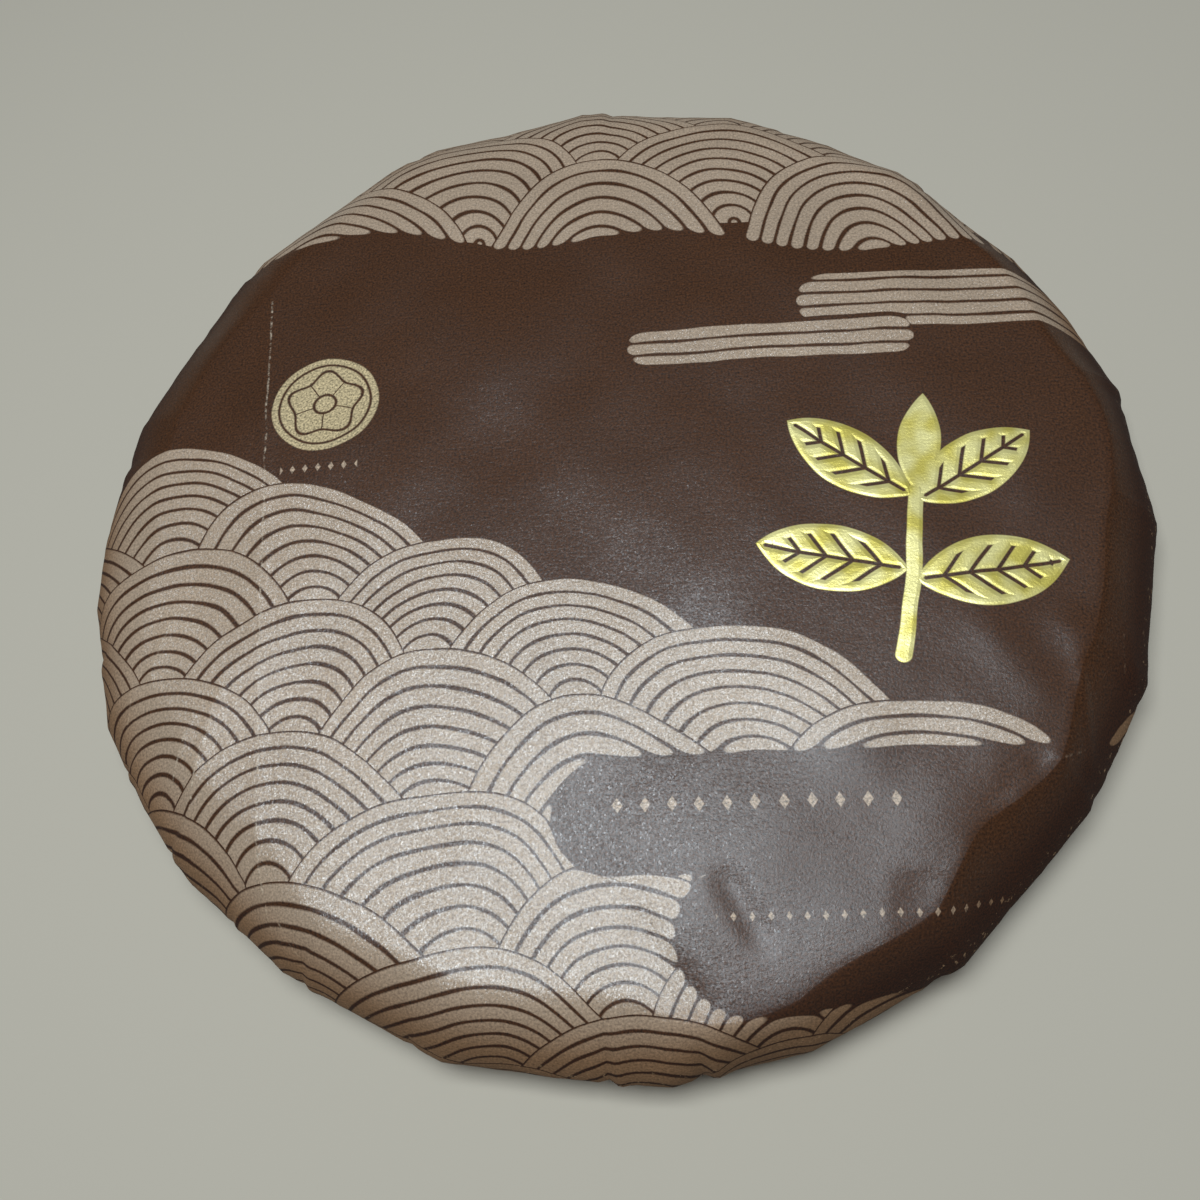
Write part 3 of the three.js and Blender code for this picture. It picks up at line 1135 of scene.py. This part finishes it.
    def stripes(self, tree: Tree, flat: Socket, lines: Socket, room: Socket, covered: Socket) -> Socket:
        """Draws pale stripes between dark lines, with round ends where their field stops.

        Args:
            tree: the material's node tree.
            flat: the place on the sheet.
            lines: a number that passes a whole one at each dark line.
            room: how far the place is inside its field.
            covered: 1 where there is a field.

        Returns:
            1 on a pale stripe.
        """
        from_line = add_node(tree, "Math", (lines, 0.5), operation="PINGPONG")
        thick = add_node(tree, "TexNoise", {"Vector": flat, "Scale": 1 / 9.0, "Detail": 1.0})
        thin, broad = 0.38 * self.line_width, 0.62 * self.line_width
        thick = add_node(tree, "MapRange", (thick, 0.3, 0.7, thin, broad))
        clear = add_node(tree, "Math", (from_line, self.line_pitch), operation="MULTIPLY")
        clear = add_node(tree, "Math", (clear, thick), operation="SUBTRACT")
        half = (self.line_pitch - self.line_width) / 2
        gap = add_node(tree, "CombineXYZ", (clear, room))
        gap = add_node(tree, "VectorMath", ((half, half, 0.0), gap), operation="SUBTRACT")
        gap = add_node(tree, "VectorMath", (gap, (0.0, 0.0, 0.0)), operation="MAXIMUM")
        away = add_node(tree, "VectorMath", (gap,), "Value", operation="LENGTH")
        stripe = self.cut(tree, away, half)
        return add_node(tree, "Math", (stripe, covered), operation="MULTIPLY")

    def seal_ink(self, tree: Tree, drawn: Socket) -> Socket:
        """Prints a round seal with a tea flower of five petals left dark in it.

        Args:
            tree: the material's node tree.
            drawn: the place on the sheet.

        Returns:
            1 where the seal's ink lies.
        """
        place = add_node(tree, "VectorMath", (drawn, (*self.seal_place, 0.0)), operation="SUBTRACT")
        away = add_node(tree, "VectorMath", (place,), "Value", operation="LENGTH")
        along = add_node(tree, "SeparateXYZ", (place,), "X")
        angle = add_node(tree, "Math", (along, along.node.outputs["Y"]), operation="ARCTAN2")
        five = add_node(tree, "Math", (angle, 5.0), operation="MULTIPLY")
        petal = add_node(tree, "Math", (five,), operation="COSINE")
        petal = add_node(tree, "Math", (petal, -self.petal_depth, 1.0), operation="MULTIPLY_ADD")
        petal = add_node(tree, "Math", (away, petal), operation="MULTIPLY")
        between = add_node(tree, "Math", (angle, 2.5), operation="MULTIPLY")
        between = add_node(tree, "Math", (between,), operation="COSINE")
        between = add_node(tree, "Math", (between, away), operation="MULTIPLY")
        between = add_node(tree, "Math", (between,), operation="ABSOLUTE")
        # The dark lines of the drawing: how far the place is from each, with half its width taken off.
        past_heart = add_node(tree, "Math", (self.flower_heart, away), operation="SUBTRACT")
        short_of_edge = add_node(tree, "Math", (petal, self.petal_reach), operation="SUBTRACT")
        dark = add_node(tree, "Math", (between, self.seal_line), operation="SUBTRACT")
        dark = add_node(tree, "Math", (dark, past_heart), operation="MAXIMUM")
        dark = add_node(tree, "Math", (dark, short_of_edge), operation="MAXIMUM")
        for reach, radius, half_width in ((petal, self.petal_reach, self.seal_line),
                                          (away, self.flower_heart, self.seal_line),
                                          (away, self.seal_border, self.border_line)):
            line = add_node(tree, "Math", (reach, radius), operation="SUBTRACT")
            line = add_node(tree, "Math", (line,), operation="ABSOLUTE")
            line = add_node(tree, "Math", (line, half_width), operation="SUBTRACT")
            dark = add_node(tree, "Math", (dark, line), operation="MINIMUM")
        disc = self.cut(tree, away, self.seal_radius)
        left = self.cut(tree, dark, 0.0)
        return add_node(tree, "Math", (disc, left), operation="SUBTRACT", use_clamp=True)

    def small_marks(self, tree: Tree, drawn: Socket) -> Socket:
        """Prints small rows of lozenges, one under the seal and two low on the print.

        Args:
            tree: the material's node tree.
            drawn: the place on the sheet.

        Returns:
            1 where a mark is.
        """
        marks = 0.0
        for middle, reach, half_pitch, size in MARK_ROWS:
            place = add_node(tree, "VectorMath", (drawn, (*middle, 0.0)), operation="SUBTRACT")
            along = add_node(tree, "SeparateXYZ", (place,), "X")
            aside = add_node(tree, "Math", (along, half_pitch), operation="PINGPONG")
            up = add_node(tree, "Math", (along.node.outputs["Y"],), operation="ABSOLUTE")
            away = add_node(tree, "Math", (aside, 1.5, up), operation="MULTIPLY_ADD")
            mark = self.cut(tree, away, size)
            extent = add_node(tree, "Math", (along,), operation="ABSOLUTE")
            within = self.cut(tree, extent, reach)
            mark = add_node(tree, "Math", (mark, within), operation="MULTIPLY")
            marks = add_node(tree, "Math", (marks, mark), operation="MAXIMUM")
        return marks

    def foil_depth(self, tree: Tree, drawn: Socket) -> Socket:
        """Stamps the sprig: a bud, two leaves beside it and two below, on a stem, in strokes of foil.

        Args:
            tree: the material's node tree.
            drawn: the place on the sheet.

        Returns:
            The distance to the nearest stroke's edge, below 0 inside it.
        """
        nearest = self.leaf_shape(tree, drawn, SPRIG_BUD)
        for leaf in SPRIG_LEAVES:
            away = self.veined_leaf(tree, drawn, leaf)
            nearest = add_node(tree, "Math", (nearest, away), operation="MINIMUM")
        for start, end in SPRIG_STEMS:
            away = self.away_from_line(tree, drawn, start, end)
            away = add_node(tree, "Math", (away, self.stroke / 2), operation="SUBTRACT")
            nearest = add_node(tree, "Math", (nearest, away), operation="MINIMUM")
        return nearest

    @staticmethod
    def leaf_shape(tree: Tree, drawn: Socket, leaf: Leaf) -> Socket:
        """Draws a pointed leaf as the overlap of two circles.

        Args:
            tree: the material's node tree.
            drawn: the place on the sheet.
            leaf: the leaf.

        Returns:
            The distance to its edge, below 0 inside it.
        """
        left, right, radius = leaf.arcs()
        to_left = add_node(tree, "VectorMath", (drawn, left), "Value", operation="DISTANCE")
        to_right = add_node(tree, "VectorMath", (drawn, right), "Value", operation="DISTANCE")
        away = add_node(tree, "Math", (to_left, to_right), operation="MAXIMUM")
        return add_node(tree, "Math", (away, radius), operation="SUBTRACT")

    def veined_leaf(self, tree: Tree, drawn: Socket, leaf: Leaf) -> Socket:
        """Draws a leaf whose midrib and side veins are left bare.

        Args:
            tree: the material's node tree.
            drawn: the place on the sheet.
            leaf: the leaf.

        Returns:
            The distance to the edge of its foil, below 0 on the foil.
        """
        shape = self.leaf_shape(tree, drawn, leaf)
        along = (Vector(leaf.tip) - Vector(leaf.start)).normalized()
        place = add_node(tree, "VectorMath", (drawn, (*leaf.start, 0.0)), operation="SUBTRACT")
        run = add_node(tree, "VectorMath", (place, (*along, 0.0)), "Value", operation="DOT_PRODUCT")
        aside = (-along.y, along.x, 0.0)
        aside = add_node(tree, "VectorMath", (place, aside), "Value", operation="DOT_PRODUCT")
        aside = add_node(tree, "Math", (aside,), operation="ABSOLUTE")
        midrib = add_node(tree, "Math", (aside, self.vein / 2), operation="SUBTRACT")
        slant = add_node(tree, "Math", (aside, -1.0, run), operation="MULTIPLY_ADD")
        vein = add_node(tree, "Math", (slant, self.vein_pitch / 2), operation="PINGPONG")
        vein = add_node(tree, "Math", (vein, math.sqrt(0.5), -self.vein / 2), operation="MULTIPLY_ADD")
        margin = add_node(tree, "Math", (shape, self.leaf_margin), operation="ADD")
        vein = add_node(tree, "Math", (vein, margin), operation="MAXIMUM")
        bare = add_node(tree, "Math", (midrib, vein), operation="MINIMUM")
        within = add_node(tree, "Math", (shape, self.leaf_edge), operation="ADD")
        bare = add_node(tree, "Math", (bare, within), operation="MAXIMUM")
        foil = add_node(tree, "Math", (0.0, bare), operation="SUBTRACT")
        return add_node(tree, "Math", (shape, foil), operation="MAXIMUM")

    def worn_ink(self, tree: Tree, flat: Socket) -> Socket:
        """Rubs the ink off along the sheet's old folds, and in flecks at the rim.

        Args:
            tree: the material's node tree.
            flat: the place on the sheet.

        Returns:
            How much of the bare paper shows.
        """
        speckle = add_node(tree, "TexNoise", {"Vector": flat, "Scale": 1 / self.worn_speckle, "Detail": 4.0,
                                              "Roughness": 0.7})
        drift = self.wander(tree, flat, 6.0, 0.8)
        total = 0.0
        for fold in FOLD_LINES:
            away = self.away_from_line(tree, drift, fold.start, fold.end)
            rubbed = self.worn_share * fold.wear
            away = add_node(tree, "MapRange", (away, *self.worn_line, rubbed, 0.0))
            total = add_node(tree, "Math", (total, away), operation="MAXIMUM")
        rubbed = add_node(tree, "MapRange", (speckle, 0.46, 0.62, 0.0, 1.0))
        total = add_node(tree, "Math", (total, rubbed), operation="MULTIPLY", use_clamp=True)
        out = add_node(tree, "VectorMath", (flat,), "Value", operation="LENGTH")
        edge = add_node(tree, "Math", (out, self.fleck_radius), operation="SUBTRACT")
        edge = add_node(tree, "Math", (edge,), operation="ABSOLUTE")
        edge = add_node(tree, "MapRange", (edge, *self.fleck_reach, 1.0, 0.0))
        fleck = add_node(tree, "MapRange", (speckle, 0.60, 0.66, 0.0, 0.8))
        fleck = add_node(tree, "Math", (fleck, edge), operation="MULTIPLY")
        return add_node(tree, "Math", (total, fleck), operation="MAXIMUM")

    def pearl_flakes(self, tree: Tree, flat: Socket, normal: Socket, foil_mask: Socket,
                     pale: Socket) -> tuple[Socket, Socket]:
        """Lays the pearl varnish: flakes that each lie their own way, so that some of them glint.

        The varnish is thin on the foil, and rubbed thin where the paper turns over the rim. The pale ink has
        pearl of its own, finer and less flat, which spreads its sheen.

        Args:
            tree: the material's node tree.
            flat: the place on the sheet.
            normal: the surface's bumped normal.
            foil_mask: 1 on the foil.
            pale: 1 on the pale ink.

        Returns:
            How much varnish there is, and the normal of each flake.
        """
        place = add_node(tree, "Mapping", {"Vector": flat, "Rotation": (0.0, 0.0, -0.9),
                                           "Scale": (1.0, 0.7, 1.0)})
        flakes = add_node(tree, "TexVoronoi", {"Vector": place, "Scale": 1 / self.flake}, "Color")
        tilt = add_node(tree, "VectorMath", (flakes, (0.5, 0.5, 0.5)), operation="SUBTRACT")
        tilt = add_node(tree, "VectorMath", {0: tilt, "Scale": self.flake_tilt}, operation="SCALE")
        pearl = add_node(tree, "TexVoronoi", {"Vector": flat, "Scale": 1 / self.pearl}, "Color")
        pearl = add_node(tree, "VectorMath", (pearl, (0.5, 0.5, 0.5)), operation="SUBTRACT")
        loose = add_node(tree, "Math", (pale, self.pearl_tilt), operation="MULTIPLY")
        pearl = add_node(tree, "VectorMath", {0: pearl, "Scale": loose}, operation="SCALE")
        tilt = add_node(tree, "VectorMath", (tilt, pearl), operation="ADD")
        tilt = add_node(tree, "VectorMath", (normal, tilt), operation="ADD")
        tilt = add_node(tree, "VectorMath", (tilt,), operation="NORMALIZE")
        share = add_node(tree, "SeparateXYZ", (flakes,), "X")
        spark = add_node(tree, "MapRange", (share, 1.0 - self.spark_share, 1.0, 0.0, self.spark))
        share = add_node(tree, "MapRange", (share, 0.0, 1.0, *self.varnish))
        share = add_node(tree, "Math", (share, spark), operation="ADD", use_clamp=True)
        out = add_node(tree, "VectorMath", (flat,), "Value", operation="LENGTH")
        worn = add_node(tree, "MapRange", (out, *self.rubbed_rim, 1.0, 0.0),
                        interpolation_type="SMOOTHSTEP")
        richer = add_node(tree, "MapRange", (pale, 0.0, 1.0, 1.0, self.pale_varnish))
        share = add_node(tree, "Math", (share, richer), operation="MULTIPLY", use_clamp=True)
        varnish = add_node(tree, "Math", (share, worn), operation="MULTIPLY")
        bare = add_node(tree, "MapRange", (foil_mask, 0.0, 1.0, 1.0, self.foil_varnish))
        return add_node(tree, "Math", (varnish, bare), operation="MULTIPLY"), tilt

    def surface_bump(self, tree: Tree, flat: Socket, grain: Socket, foil: Socket) -> Socket:
        """Raises the pearl coating's grain, the paper's fibres and the pressed edge of the foil.

        Args:
            tree: the material's node tree.
            flat: the place on the sheet.
            grain: the coating's grain.
            foil: the distance to the foil's edge.

        Returns:
            The bumped normal.
        """
        place = add_node(tree, "Mapping", {"Vector": flat, "Rotation": (0.0, 0.0, 0.7),
                                           "Scale": (0.35, 1.0, 1.0)})
        fibres = add_node(tree, "TexNoise", {"Vector": place, "Scale": 1 / self.fibre, "Detail": 3.0,
                                             "Distortion": 0.6})
        pressed = add_node(tree, "MapRange", (foil, -0.7, 0.1, 1.0, 0.0), interpolation_type="SMOOTHSTEP")
        normal = None
        for height, reach, strength in ((fibres, self.fibre_height, 0.7), (grain, self.grain_height, 1.0),
                                        (pressed, self.foil_press, 1.0)):
            normal = add_node(tree, "Bump", {"Strength": strength, "Distance": reach * MM, "Height": height,
                                             "Normal": normal})
        return normal


@dataclass(frozen=True)
class PlainFloor:
    """Matt pale board under the cake, the same all over."""

    colour: str = "#b7ae9f"

    def build(self) -> bpy.types.Material:
        """Returns the material."""
        material = bpy.data.materials.new("plain_floor")
        material.use_nodes = True
        shader = material.node_tree.nodes["Principled BSDF"]
        shader.inputs["Base Color"].default_value = linear(self.colour)
        shader.inputs["Roughness"].default_value = 0.9
        shader.inputs["Specular IOR Level"].default_value = 0.15
        return material


@dataclass
class Studio:
    """The camera where the photograph was taken from, the floor, and the soft light from above."""

    camera_place: Vector = field(default_factory=lambda: Vector((0.01787, -0.10491, 0.21245)))
    camera_ahead: Vector = field(default_factory=lambda: Vector((-0.0890, 0.4016, -0.9115)))
    camera_up: Vector = field(default_factory=lambda: Vector((0.0525, 0.9158, 0.3984)))
    lens: float = 36.0
    sensor: float = 36.0
    floor_side: float = 6.0
    lamp_place: Vector = field(default_factory=lambda: Vector((-0.045, -0.03, 0.72)))
    lamp_size: tuple[float, float] = (0.46, 0.27)
    lamp_power: float = 5.9
    lamp_colour: str = "#ebf7ff"
    room_light: float = 0.05
    room_colour: str = "#f2f3f5"

    def build(self) -> None:
        """Sets up the camera, the floor, the lamp and the room's own light."""
        self.build_camera()
        self.build_floor()
        self.build_lamp("overhead_lamp")
        world = bpy.data.worlds.new("room")
        world.use_nodes = True
        room = world.node_tree.nodes["Background"].inputs
        room["Color"].default_value = linear(self.room_colour)
        room["Strength"].default_value = self.room_light
        bpy.context.scene.world = world
        bpy.context.scene.view_settings.view_transform = "Standard"

    def build_camera(self) -> None:
        """Puts the camera where the photograph's was, with the same field of view and tilt."""
        ahead = self.camera_ahead.normalized()
        right = ahead.cross(self.camera_up).normalized()
        up = right.cross(ahead)
        data = bpy.data.cameras.new("photo_camera")
        data.lens, data.sensor_width = self.lens, self.sensor
        data.clip_start = 0.01
        camera = bpy.data.objects.new("photo_camera", data)
        axes = Matrix((right, up, -ahead)).transposed().to_4x4()
        camera.matrix_world = Matrix.Translation(self.camera_place) @ axes
        bpy.context.collection.objects.link(camera)
        bpy.context.scene.camera = camera

    def build_floor(self) -> None:
        """Lays the floor that the cake rests on."""
        mesh = bmesh.new()
        bmesh.ops.create_grid(mesh, x_segments=4, y_segments=4, size=self.floor_side / 2)
        data = bpy.data.meshes.new("floor")
        mesh.to_mesh(data)
        mesh.free()
        floor = bpy.data.objects.new("floor", data)
        data.materials.append(PlainFloor().build())
        bpy.context.collection.objects.link(floor)

    def build_lamp(self, name: str) -> None:
        """Hangs the soft lamp level above the cake.

        Args:
            name: the lamp's name.
        """
        data = bpy.data.lights.new(name, "AREA")
        data.shape, data.energy = "RECTANGLE", self.lamp_power
        data.size, data.size_y = self.lamp_size
        data.color = linear(self.lamp_colour)[:3]
        lamp = bpy.data.objects.new(name, data)
        lamp.location = self.lamp_place
        bpy.context.collection.objects.link(lamp)


def main() -> None:
    """Builds the cake's wrapper, dresses it and sets up the studio."""
    logging.basicConfig(level=logging.INFO, format="%(name)s: %(message)s")
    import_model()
    Studio().build()
    low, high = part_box(NODE)
    wrapper = PaperWrapper(CakeForm(height=high[2] - low[2])).build("paper_wrapper")
    wrapper.data.materials.append(PrintedPaper().build())
    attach(wrapper, BODY)
    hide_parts(NODE)
    LOG.info("%s: %d faces", wrapper.name, len(wrapper.data.polygons))


if __name__ == "__main__":
    main()
